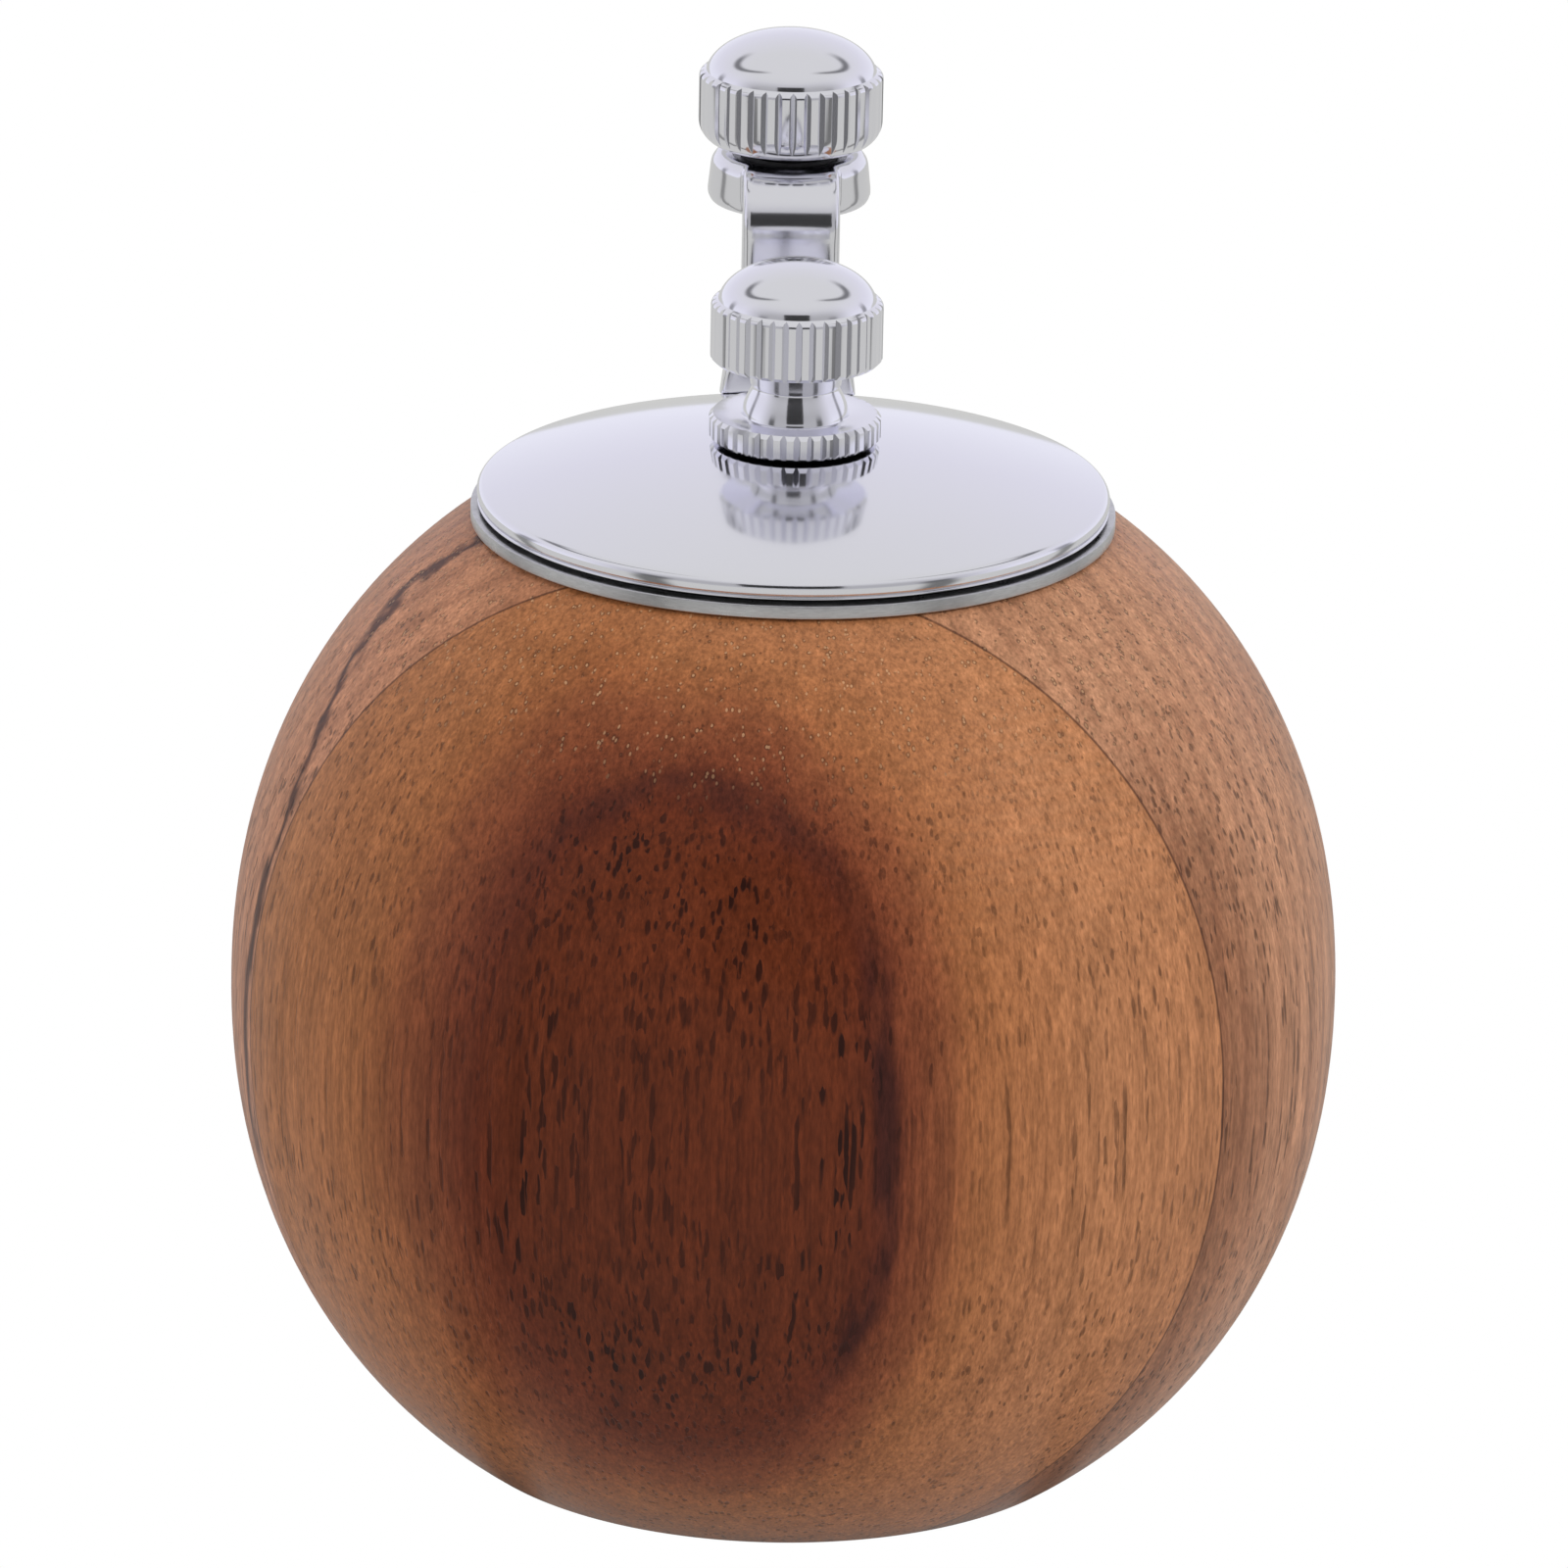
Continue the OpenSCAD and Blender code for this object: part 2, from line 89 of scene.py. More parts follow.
# Places of the pieces, in millimetres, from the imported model
BODY_RADIUS = round(min(CAD_BOX[1][0], CAD_BOX[1][1]) / MM, 3)
BODY_TOP_Z = corners("front_board")[1][2]
SLEEVE_LOW_Z, RING_TOP_Z = (corner[2] for corner in corners("seat_ring"))
RING_RADIUS = corners("seat_ring")[1][0]
LID_RIM_Z, LID_HOLE_Z = (corner[2] for corner in corners("lid"))
LID_RADIUS = corners("lid")[1][0]
NUT_Z, NUT_TOP_Z = (corner[2] for corner in corners("adjusting_nut"))
KNOB_Z, KNOB_TOP_Z = (corner[2] for corner in corners("crank_knob"))
CRANK_Y = round((corners("crank_knob")[0][1] + corners("crank_knob")[1][1]) / 2, 2)
PAD_TOP_Z = corners("crank_arm")[1][2]
SPRING_LOW_Z, SPRING_TOP_Z = (corner[2] for corner in corners("spring"))
SPRING_RADIUS = corners("spring")[1][0]

# Sizes that the boxes don't give, in millimetres
BODY_HALF_HEIGHT = 41.4
BODY_POWER = 2.117
BODY_WAIST_Z = 34.35
CHAMBER_RADIUS = 17.0
BASE_RECESS_RADIUS = 20.5
BASE_RECESS_DEPTH = 2.7
GLUE_Y = 19.0
DOME_RADIUS = 72.0
LID_HOLE_RADIUS = 2.1
DOME_CENTRE_Z = LID_HOLE_Z - math.sqrt(DOME_RADIUS ** 2 - LID_HOLE_RADIUS ** 2)
SPRING_WIRE = 0.5


# ---------------------------------------------------------------- sizes a user may change

class MillSizes(bpy.types.PropertyGroup):
    board_turn: bpy.props.FloatProperty(
        name="Board turn", description="Turn of the glue joints about the upright axis",
        default=math.radians(12), subtype="ANGLE")
    turning_steps: bpy.props.IntProperty(
        name="Turning steps", description="Faces around each turned piece", default=192, min=48)
    tooth_count: bpy.props.IntProperty(
        name="Knurl teeth", description="Teeth around the knob and the nut", default=40, min=12)
    tooth_depth: bpy.props.FloatProperty(
        name="Knurl depth", description="Depth of the grooves between the teeth",
        default=0.42 * MM, unit="LENGTH", precision=5)
    cast_grain: bpy.props.FloatProperty(
        name="Casting grain", description="Size of the faces on the cast crank",
        default=0.17 * MM, unit="LENGTH", precision=5)


class MillFinish(bpy.types.PropertyGroup):
    wood_gloss: bpy.props.FloatProperty(
        name="Lacquer", description="Weight of the clear lacquer on the wood",
        default=0.10, min=0, max=1, subtype="FACTOR")
    chrome_colour: bpy.props.FloatVectorProperty(
        name="Chrome", description="Colour of the polished chrome",
        default=(0.91, 0.91, 0.915), size=3, subtype="COLOR", min=0, max=1)
    steel_colour: bpy.props.FloatVectorProperty(
        name="Steel", description="Colour of the plain steel pieces",
        default=(0.60, 0.60, 0.61), size=3, subtype="COLOR", min=0, max=1)
    plastic_colour: bpy.props.FloatVectorProperty(
        name="Plastic", description="Colour of the moulded plastic",
        default=(0.012, 0.012, 0.013), size=3, subtype="COLOR", min=0, max=1)


class MillStudio(bpy.types.PropertyGroup):
    camera_distance: bpy.props.FloatProperty(
        name="Camera distance", description="From the camera to the middle of the ball",
        default=0.853, unit="LENGTH")
    camera_elevation: bpy.props.FloatProperty(
        name="Camera elevation", description="Height of the camera as an angle",
        default=math.radians(20), subtype="ANGLE")
    key_power: bpy.props.FloatProperty(
        name="Key light", description="Power of the main light", default=4.0, unit="POWER")


# ---------------------------------------------------------------- modelling helpers

def deselect():
    if bpy.context.mode != "OBJECT":
        bpy.ops.object.mode_set(mode="OBJECT")
    bpy.ops.object.select_all(action="DESELECT")


def activate(piece):
    deselect()
    piece.select_set(True)
    bpy.context.view_layer.objects.active = piece


def arc(centre, radius, start, end, steps):
    """Points of an arc between two angles in degrees."""
    angles = [math.radians(start + (end - start) * i / steps) for i in range(steps + 1)]
    return [(centre[0] + radius * math.cos(a), centre[1] + radius * math.sin(a)) for a in angles]


def dome(radius, low_z, top_z, steps=24):
    """Outline of a domed top, from its edge to the axis."""
    angles = [math.pi / 2 * i / steps for i in range(steps + 1)]
    return [(radius * math.cos(a), low_z + (top_z - low_z) * math.sin(a)) for a in angles]


def knurled_top(radius, depth, band_top, top):
    """Outline from a knurled band over its rounded shoulder and the dome to the axis."""
    shoulder = arc((radius - depth, band_top - depth), depth, 0, 78, 6)
    rise = dome(radius - depth - 0.02, band_top - 0.4, top, 30)
    return shoulder + [point for point in rise if point[1] > band_top + 0.04]


def draw_outline(name, points):
    """A wire through points in metres, drawn from one vertex by extruding it."""
    deselect()
    bpy.ops.mesh.primitive_plane_add(size=MM)
    piece = bpy.context.object
    piece.name = piece.data.name = name
    bpy.ops.object.mode_set(mode="EDIT")
    bpy.ops.mesh.merge(type="CENTER")
    bpy.ops.transform.translate(value=points[0])
    for last, point in zip(points, points[1:]):
        step = Vector(point) - Vector(last)
        bpy.ops.mesh.extrude_region_move(TRANSFORM_OT_translate={"value": step})
    bpy.ops.mesh.select_all(action="SELECT")
    return piece


def mend():
    """Merges doubles and points the faces of the mesh in edit mode outwards."""
    bpy.ops.mesh.select_all(action="SELECT")
    bpy.ops.mesh.remove_doubles(threshold=0.001 * MM)
    bpy.ops.mesh.normals_make_consistent(inside=False)
    bpy.ops.mesh.select_all(action="DESELECT")
    bpy.ops.object.mode_set(mode="OBJECT")


def turn(name, outline, steps):
    """Turns an outline of (radius, height) about the mill's axis. It is closed, or it
    starts and ends on the axis."""
    piece = draw_outline(name, [(r * MM, 0, z * MM) for r, z in outline])
    bpy.ops.mesh.spin(steps=steps, angle=2 * math.pi, center=(0, 0, 0), axis=(0, 0, 1))
    mend()
    return piece


def cut_plate(name, outline, axis, start, end):
    """A plate with a flat outline, extruded along the X or Y axis."""
    if axis == "X":
        points = [(start * MM, a * MM, b * MM) for a, b in outline]
        depth = ((end - start) * MM, 0, 0)
    else:
        points = [(a * MM, start * MM, b * MM) for a, b in outline]
        depth = (0, (end - start) * MM, 0)
    piece = draw_outline(name, points)
    bpy.ops.mesh.edge_face_add()
    bpy.ops.mesh.extrude_region_move(TRANSFORM_OT_translate={"value": depth})
    mend()
    return piece


def shift(piece, value):
    """Moves the mesh, while its object stays at the origin."""
    activate(piece)
    bpy.ops.object.mode_set(mode="EDIT")
    bpy.ops.mesh.select_all(action="SELECT")
    bpy.ops.transform.translate(value=value)
    bpy.ops.object.mode_set(mode="OBJECT")


def apply_modifier(piece, kind, **settings):
    activate(piece)
    modifier = piece.modifiers.new(kind.title(), kind)
    for key, value in settings.items():
        setattr(modifier, key, value)
    bpy.ops.object.modifier_apply(modifier=modifier.name)


def combine(piece, other, operation):
    """Boolean of two pieces, which uses the second one up."""
    apply_modifier(piece, "BOOLEAN", object=other, operation=operation, solver="EXACT")
    bpy.data.objects.remove(other)


def soften(piece, width, segments=3, angle=35):
    """Rounds the edges that are sharper than an angle in degrees."""
    apply_modifier(piece, "BEVEL", width=width * MM, segments=segments, limit_method="ANGLE",
                   angle_limit=math.radians(angle), use_clamp_overlap=True)


def smooth(piece, angle=35):
    activate(piece)
    bpy.ops.object.shade_smooth_by_angle(angle=math.radians(angle))


def hand_over(piece, node, body, material):
    """Gives a finished piece its material and puts it in the place of a CAD node."""
    piece.data.materials.clear()
    piece.data.materials.append(material)
    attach(piece, body)
    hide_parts(node)


def knurl(piece, radius, depth, low, high, teeth):
    """Cuts upright grooves between flat lands into all that reaches past their depth."""
    deselect()
    bpy.ops.mesh.primitive_cylinder_add(
        vertices=4 * teeth, radius=radius, depth=(high - low) * MM,
        location=(0, 0, (high + low) / 2 * MM))
    star = bpy.context.object
    bpy.ops.object.transform_apply(location=True)
    step = 2 * math.pi / (4 * teeth)
    for vertex in star.data.vertices:
        place = round(math.atan2(vertex.co.y, vertex.co.x) / step)
        vertex.select = place % 4 == 0
    for group in (star.data.edges, star.data.polygons):
        for element in group:
            element.select = False
    bpy.ops.object.mode_set(mode="EDIT")
    bpy.ops.mesh.select_mode(type="VERT")
    shrink = (radius - depth) / radius
    bpy.ops.transform.resize(value=(shrink, shrink, 1), center_override=(0, 0, 0))
    bpy.ops.object.mode_set(mode="OBJECT")
    combine(piece, star, "INTERSECT")


# ---------------------------------------------------------------- material helpers

def srgb(red, green, blue):
    """A colour given in 0 to 255, as the nodes take it."""
    def linear(value):
        value = value / 255
        return value / 12.92 if value <= 0.04045 else ((value + 0.055) / 1.055) ** 2.4
    return (linear(red), linear(green), linear(blue), 1)


class Nodes:
    """Short ways to add nodes to a material and join them."""

    def __init__(self, tree):
        self.tree = tree

    def add(self, kind, inputs=None, **settings):
        node = self.tree.nodes.new(kind)
        for key, value in settings.items():
            setattr(node, key, value)
        for key, value in (inputs or {}).items():
            self.feed(node.inputs[key], value)
        return node

    def feed(self, socket, value):
        if isinstance(value, bpy.types.NodeSocket):
            self.tree.links.new(value, socket)
        else:
            socket.default_value = value

    def math(self, operation, *values, clamp=False):
        node = self.add("ShaderNodeMath", operation=operation, use_clamp=clamp)
        for socket, value in zip(node.inputs, values):
            self.feed(socket, value)
        return node.outputs[0]

    def place(self, scale=(1000, 1000, 1000), turn=0.0, shift=(0, 0, 0)):
        """Object coordinates in millimetres, turned about the upright axis."""
        where = self.add("ShaderNodeTexCoord").outputs["Object"]
        return self.add("ShaderNodeMapping", {
            "Vector": where, "Scale": scale, "Rotation": (0, 0, turn),
            "Location": shift}).outputs[0]

    def scaled(self, vector, scale):
        return self.add("ShaderNodeVectorMath", {0: vector, 1: scale},
                        operation="MULTIPLY").outputs[0]

    def noise(self, vector, scale, detail=2.0, roughness=0.5):
        return self.add("ShaderNodeTexNoise", {
            "Vector": vector, "Scale": scale, "Detail": detail,
            "Roughness": roughness}).outputs["Fac"]

    def remap(self, value, low, high, new_low=0.0, new_high=1.0, kind="SMOOTHSTEP"):
        return self.add("ShaderNodeMapRange", {
            "Value": value, "From Min": low, "From Max": high,
            "To Min": new_low, "To Max": new_high}, interpolation_type=kind).outputs[0]

    def ramp(self, value, stops):
        node = self.add("ShaderNodeValToRGB", {"Fac": value})
        elements = node.color_ramp.elements
        while len(elements) < len(stops):
            elements.new(0.5)
        for element, (position, colour) in zip(elements, stops):
            element.position = position
            element.color = colour
        return node.outputs[0]

    def mix(self, factor, first, second, blend="MIX"):
        node = self.add("ShaderNodeMix", data_type="RGBA", blend_type=blend)
        self.feed(node.inputs[0], factor)
        self.feed(node.inputs[6], first)
        self.feed(node.inputs[7], second)
        return node.outputs[2]

    def bump(self, height, strength, distance, normal=None):
        inputs = {"Height": height, "Strength": strength, "Distance": distance}
        if normal is not None:
            inputs["Normal"] = normal
        return self.add("ShaderNodeBump", inputs).outputs[0]


def new_material(name):
    material = bpy.data.materials.new(name)
    material.use_nodes = True
    nodes = Nodes(material.node_tree)
    shader = material.node_tree.nodes["Principled BSDF"]
    return material, nodes, shader


# ---------------------------------------------------------------- materials

# Colour of the front board by distance from the middle of the tree, in millimetres
HEART_STOPS = [
    (28.0, (84, 36, 15)), (32.0, (84, 36, 15)), (34.0, (86, 37, 18)), (35.0, (92, 43, 24)),
    (36.0, (104, 53, 31)), (36.8, (113, 61, 36)), (37.6, (116, 65, 39)),
    (38.8, (132, 79, 47)), (40.5, (140, 88, 53)), (43.0, (147, 95, 60)), (48.0, (154, 103, 68)),
]
HEART_LOW, HEART_HIGH = 28.0, 50.0
HEART_EDGE = 34.0         # where the dark heart of the front board ends
HEART_RIM = 34.6          # middle of its darkest rim
# Middle of the tree of each board, across and deep from the mill's axis
TREE_MIDDLE = {"front": (0.0, 68.0), "middle": (46.0, 150.0), "rear": (12.0, -90.0)}
PITH_LEAN = 0.047         # the tree leans a little forwards with height
TUBE_GAP = 0.47           # between two pores


def wood(name, board, turn, gloss):
    """Lacquered wood whose rings, pores and fibres are cut through by the ball's surface."""
    material, nodes, shader = new_material(name)
    place = nodes.place(turn=turn, shift=(0, 0, -BODY_WAIST_Z))
    axes = nodes.add("ShaderNodeSeparateXYZ", {0: place}).outputs
    across, deep, height = axes[0], axes[1], axes[2]

    # distance from the middle of the tree, warped by slow noise
    slow = nodes.noise(nodes.scaled(place, (1, 1, 0.45)), 0.07, 2.0, 0.5)
    fine_warp = nodes.noise(nodes.scaled(place, (1, 1, 0.2)), 0.45, 2.0, 0.5)
    centre_across, centre_deep = TREE_MIDDLE[board]
    from_centre = nodes.math("POWER", nodes.math("ADD", deep, centre_deep), 2.0)
    sideways = nodes.math("POWER", nodes.math("ADD", across, centre_across), 2.0)
    rings = nodes.math("SQRT", nodes.math("ADD", from_centre, sideways))
    rings = nodes.math("SUBTRACT", rings, nodes.math("MULTIPLY", height, PITH_LEAN))
    rings = nodes.math("ADD", rings, nodes.remap(slow, 0.2, 0.8, -1.1, 1.1, "LINEAR"))
    rings = nodes.math("ADD", rings, nodes.remap(fine_warp, 0.2, 0.8, -0.35, 0.35, "LINEAR"))

    if board == "front":
        # the heart fades out more slowly on its left
        outside = nodes.math("MAXIMUM", nodes.math("SUBTRACT", rings, HEART_EDGE), 0.0)
        fade = nodes.math("MULTIPLY", outside, nodes.remap(across, -2, -10, 0.0, 0.35))
        part = nodes.remap(nodes.math("SUBTRACT", rings, fade),
                           HEART_LOW, HEART_HIGH, 0.0, 1.0, "LINEAR")
        span = HEART_HIGH - HEART_LOW
        colour = nodes.ramp(part, [((d - HEART_LOW) / span, srgb(*c)) for d, c in HEART_STOPS])
        # painted light: the front board is painted lighter and paler towards its right and darker
        # towards its left, as the light falls from the right
        side = nodes.remap(across, -34, 34, 0.0, 1.0)
        colour = nodes.mix(0.5, colour, nodes.ramp(side, [
            (0.0, (0.42, 0.41, 0.38, 1)), (1.0, (0.60, 0.635, 0.66, 1))]), "OVERLAY")
        # the heart's rim is darkest on its right and at its top
        rim = nodes.remap(nodes.math("ABSOLUTE", nodes.math("SUBTRACT", rings, HEART_RIM)),
                          0.1, 1.3, 0.9, 0.0)
        low_right = nodes.math("MULTIPLY", nodes.remap(across, 5, 12),
                               nodes.remap(nodes.math("ABSOLUTE", height), 12, 19, 1.0, 0.2))
        where = nodes.math("MAXIMUM", low_right, nodes.remap(height, 12, 24, 0.05, 0.62))
        patchy = nodes.noise(nodes.scaled(place, (1, 1, 0.25)), 0.5, 2.0)
        rim = nodes.math("MULTIPLY", nodes.math("MULTIPLY", rim, where),
                         nodes.remap(patchy, 0.35, 0.6, 0.35, 1.0))
        colour = nodes.mix(rim, colour, srgb(46, 18, 16))
    else:
        side = nodes.remap(across, -30, 30, 0.0, 1.0)
        colour = nodes.ramp(side, [
            (0.0, srgb(165, 116, 88)), (0.5, srgb(152, 103, 69)), (1.0, srgb(167, 122, 93))])
        patch = nodes.noise(nodes.scaled(place, (1, 1, 0.3)), 0.10, 3.0, 0.55)
        colour = nodes.mix(nodes.remap(patch, 0.46, 0.72, 0.0, 0.28), colour, srgb(122, 72, 46))
        # a darker band beside the lower part of the right-hand joint
        band = nodes.math("MULTIPLY", nodes.remap(deep, -18, -10, 0.65, 0.0), side)
        band = nodes.math("MULTIPLY", band, nodes.remap(height, 27, 18))
        colour = nodes.mix(band, colour, srgb(118, 74, 48))
        # a dark streak beside the left-hand joint, which leaves it towards the top
        line = nodes.math("ADD", nodes.remap(height, 16, 34, -17.6, -9.5),
                          nodes.remap(fine_warp, 0.2, 0.8, -1.6, 1.6, "LINEAR"))
        streak = nodes.math("ABSOLUTE", nodes.math("SUBTRACT", deep, line))
        streak = nodes.math("MULTIPLY", nodes.remap(streak, 0.1, 1.3, 0.9, 0.0),
                            nodes.remap(across, -14, -22))
        streak = nodes.math("MULTIPLY", streak, nodes.remap(height, -18, -6))
        colour = nodes.mix(streak, colour, srgb(52, 24, 20))

    # yearly rings
    year, weight = (1.9, 0.07) if board == "front" else (2.7, 0.22)
    ring_wave = nodes.math("SINE", nodes.math("MULTIPLY", rings, 2 * math.pi / year))
    colour = nodes.mix(nodes.remap(ring_wave, 0.0, 1.0, 0.0, weight), colour, srgb(84, 44, 28))

    # fibres, fine specks and wider streaks: long and thin along the tree
    fibre = nodes.noise(nodes.scaled(place, (1, 1, 0.035)), 2.4, 3.0, 0.65)
    colour = nodes.mix(0.70, colour, nodes.ramp(fibre, [
        (0.28, (0.30, 0.29, 0.28, 1)), (0.72, (0.69, 0.69, 0.70, 1))]), "OVERLAY")
    speck = nodes.noise(nodes.scaled(place, (1, 1, 0.22)), 4.6, 2.0, 0.6)
    colour = nodes.mix(0.60, colour, nodes.ramp(speck, [
        (0.33, (0.34, 0.33, 0.32, 1)), (0.67, (0.65, 0.65, 0.66, 1))]), "OVERLAY")
    streaks = nodes.noise(nodes.scaled(place, (1, 1, 0.07)), 0.55, 3.0, 0.6)
    colour = nodes.mix(0.50, colour, nodes.ramp(streaks, [
        (0.30, (0.34, 0.33, 0.32, 1)), (0.70, (0.62, 0.62, 0.61, 1))]), "OVERLAY")
    # a faint curl across the grain, high on the right
    curl = nodes.add("ShaderNodeTexWave", {
        "Vector": nodes.scaled(place, (0.05, 0.05, 1)), "Scale": 0.33, "Distortion": 7.0,
        "Detail": 2.0, "Detail Scale": 1.2}, bands_direction="Z").outputs["Fac"]
    curl_where = nodes.math("MULTIPLY", nodes.remap(height, 10, 24), nodes.remap(across, 12, 22))
    colour = nodes.mix(nodes.math("MULTIPLY", curl_where, nodes.math("MULTIPLY", curl, 0.05)),
                       colour, srgb(205, 160, 125))

    # pores: upright tubes that wander a little with height, broken into dashes
    wander = nodes.add("ShaderNodeTexNoise", {
        "Vector": nodes.scaled(place, (0.25, 0.25, 0.10)), "Scale": 1.0, "Detail": 1.0})
    drift = nodes.scaled(wander.outputs["Color"], (1.6, 1.6, 0))
    flat = nodes.add("ShaderNodeVectorMath", {
        0: nodes.scaled(place, (1 / TUBE_GAP, 1 / TUBE_GAP, 0)), 1: drift},
        operation="ADD").outputs[0]
    tubes = nodes.add("ShaderNodeTexVoronoi", {"Vector": flat, "Scale": 1.0},
                      feature="F1").outputs["Distance"]
    broken = nodes.noise(nodes.scaled(place, (1.9, 1.9, 0.42)), 1.0, 1.0)
    heart = nodes.remap(rings, 31.5, 36.5, 1.0, 0.0) if board == "front" else 0.2
    pore_size = nodes.math("MULTIPLY", nodes.remap(broken, 0.42, 0.56, 0.01, 0.50),
                           nodes.remap(heart, 0, 1, 0.85, 1.15, "LINEAR"))
    pore = nodes.math("SUBTRACT", 1.0, nodes.math("DIVIDE", tubes, pore_size))
    pore = nodes.math("MULTIPLY", pore, 2.8, clamp=True)
    dark = nodes.math("MULTIPLY", pore, nodes.remap(heart, 0, 1, 0.50, 0.95, "LINEAR"))
    cluster = nodes.noise(nodes.scaled(place, (1, 1, 0.5)), 0.13, 2.0)
    dark = nodes.math("MULTIPLY", dark, nodes.remap(cluster, 0.36, 0.56, 0.50, 1.0))
    if board == "front":
        dark = nodes.math("MULTIPLY", dark, nodes.remap(rings, 29.0, 32.0, 0.62, 1.0))
    colour = nodes.mix(dark, colour, srgb(30, 10, 6))
    # painted highlight: higher up, where the light falls, the ends of the tubes are painted with
    # small pale glints
    painted_pore_glint = nodes.math("MULTIPLY", nodes.math("SUBTRACT", 1.0, nodes.math("DIVIDE", tubes, 0.24)),
                        3.0, clamp=True)
    painted_pore_glint = nodes.math("MULTIPLY", painted_pore_glint, nodes.remap(broken, 0.40, 0.52, 0.15, 1.0))
    painted_pore_glint = nodes.math("MULTIPLY", painted_pore_glint, nodes.remap(height, 23, 30, 0.0, 0.40))
    colour = nodes.mix(painted_pore_glint, colour, srgb(214, 170, 128))

    # thin dark line where two boards are glued
    joint = nodes.math("ABSOLUTE", nodes.math("SUBTRACT", nodes.math("ABSOLUTE", deep), GLUE_Y))
    colour = nodes.mix(nodes.remap(joint, 0.04, 0.14, 0.7, 0.0), colour, srgb(58, 30, 20))

    nodes.feed(shader.inputs["Base Color"], colour)
    rough = nodes.remap(fibre, 0.2, 0.8, 0.36, 0.50, "LINEAR")
    nodes.feed(shader.inputs["Roughness"], rough)
    bump = nodes.bump(nodes.math("MULTIPLY", pore, -1.0), 0.5, 0.00006)
    bump = nodes.bump(fibre, 0.25, 0.00003, bump)
    nodes.feed(shader.inputs["Normal"], bump)
    shader.inputs["Specular IOR Level"].default_value = 0.10
    shader.inputs["Coat Weight"].default_value = gloss
    shader.inputs["Coat Roughness"].default_value = 0.18
    return material


def chrome(name, colour, ripple, ripple_scale, roughness):
    """Polished plate: nearly clean, with faint unevenness and rubbed marks."""
    material, nodes, shader = new_material(name)
    place = nodes.place()
    uneven = nodes.noise(place, ripple_scale, 2.0)
    rubbed = nodes.noise(nodes.scaled(place, (1, 1, 6)), 1.3, 4.0, 0.6)
    nodes.feed(shader.inputs["Base Color"], nodes.ramp(rubbed, [
        (0.3, (*[c * 0.97 for c in colour], 1)), (0.7, (*colour, 1))]))
    nodes.feed(shader.inputs["Roughness"],
               nodes.remap(rubbed, 0.35, 0.75, roughness, roughness * 2.5, "LINEAR"))
    nodes.feed(shader.inputs["Normal"], nodes.bump(uneven, 0.35, ripple))
    shader.inputs["Metallic"].default_value = 1.0
    return material


def worn_steel(name, colour, roughness, grain, stretch=(1, 1, 1)):
    """Plain metal with fine machining marks and uneven dullness."""
    material, nodes, shader = new_material(name)
    place = nodes.place()
    marks = nodes.noise(nodes.scaled(place, stretch), grain, 4.0, 0.65)
    dull = nodes.noise(place, 0.5, 3.0)
    nodes.feed(shader.inputs["Base Color"], nodes.ramp(marks, [
        (0.25, (*[c * 0.72 for c in colour], 1)), (0.75, (*colour, 1))]))
    nodes.feed(shader.inputs["Roughness"],
               nodes.remap(dull, 0.3, 0.7, roughness - 0.06, roughness + 0.10, "LINEAR"))
    nodes.feed(shader.inputs["Normal"], nodes.bump(marks, 0.4, 0.00002))
    shader.inputs["Metallic"].default_value = 1.0
    return material


def moulded_plastic(name, colour):
    """Dark moulded plastic with a fine grain."""
    material, nodes, shader = new_material(name)
    place = nodes.place()
    grain = nodes.noise(place, 5.0, 3.0, 0.6)
    cloud = nodes.noise(place, 0.3, 2.0)
    nodes.feed(shader.inputs["Base Color"], nodes.ramp(cloud, [
        (0.3, (*colour, 1)), (0.7, (*[c * 1.6 for c in colour], 1))]))
    nodes.feed(shader.inputs["Roughness"], nodes.remap(grain, 0.3, 0.7, 0.40, 0.55, "LINEAR"))
    nodes.feed(shader.inputs["Normal"], nodes.bump(grain, 0.3, 0.00003))
    return material


# ---------------------------------------------------------------- operators

def body_outline(steps=72):
    """Half outline of the ball, from the edge of its base to the edge of its top."""
    def angle(height):
        return math.asin((abs(height) / BODY_HALF_HEIGHT) ** (BODY_POWER / 2))
    low = -angle(BODY_WAIST_Z)
    high = angle(BODY_TOP_Z - BODY_WAIST_Z)
    points = []
    for i in range(steps + 1):
        t = low + (high - low) * i / steps
        rise = BODY_HALF_HEIGHT * abs(math.sin(t)) ** (2 / BODY_POWER)
        points.append((BODY_RADIUS * math.cos(t) ** (2 / BODY_POWER),
                       BODY_WAIST_Z + math.copysign(rise, t)))
    return points


class MILL_OT_boards(bpy.types.Operator):
    """Turn the ball and saw it into its three glued boards"""
    bl_idname = "mill.boards"
    bl_label = "Boards"

    def execute(self, context):
        sizes, finish = context.scene.mill_sizes, context.scene.mill_finish
        recess = [
            (CHAMBER_RADIUS, BODY_TOP_Z), (CHAMBER_RADIUS, BASE_RECESS_DEPTH),
            (BASE_RECESS_RADIUS, BASE_RECESS_DEPTH), (BASE_RECESS_RADIUS, 0)]
        outline = recess + body_outline()
        outline.append(outline[0])
        normal = Vector((math.sin(sizes.board_turn), math.cos(sizes.board_turn), 0))
        cuts = {
            "front": [(-GLUE_Y, 1)],
            "middle": [(-GLUE_Y, -1), (GLUE_Y, 1)],
            "rear": [(GLUE_Y, -1)],
        }
        for board, planes in cuts.items():
            piece = turn(board + "_board_turned", outline, sizes.turning_steps)
            for offset, side in planes:
                bpy.ops.object.mode_set(mode="EDIT")
                bpy.ops.mesh.select_all(action="SELECT")
                bpy.ops.mesh.bisect(plane_co=normal * offset * MM, plane_no=normal * side,
                                    use_fill=True, clear_outer=True, threshold=0.0001 * MM)
                bpy.ops.object.mode_set(mode="OBJECT")
            bpy.ops.object.mode_set(mode="EDIT")
            mend()
            smooth(piece)
            material = wood("wood_" + board, board, sizes.board_turn, finish.wood_gloss)
            hand_over(piece, board + "_board", "root", material)
        return {"FINISHED"}


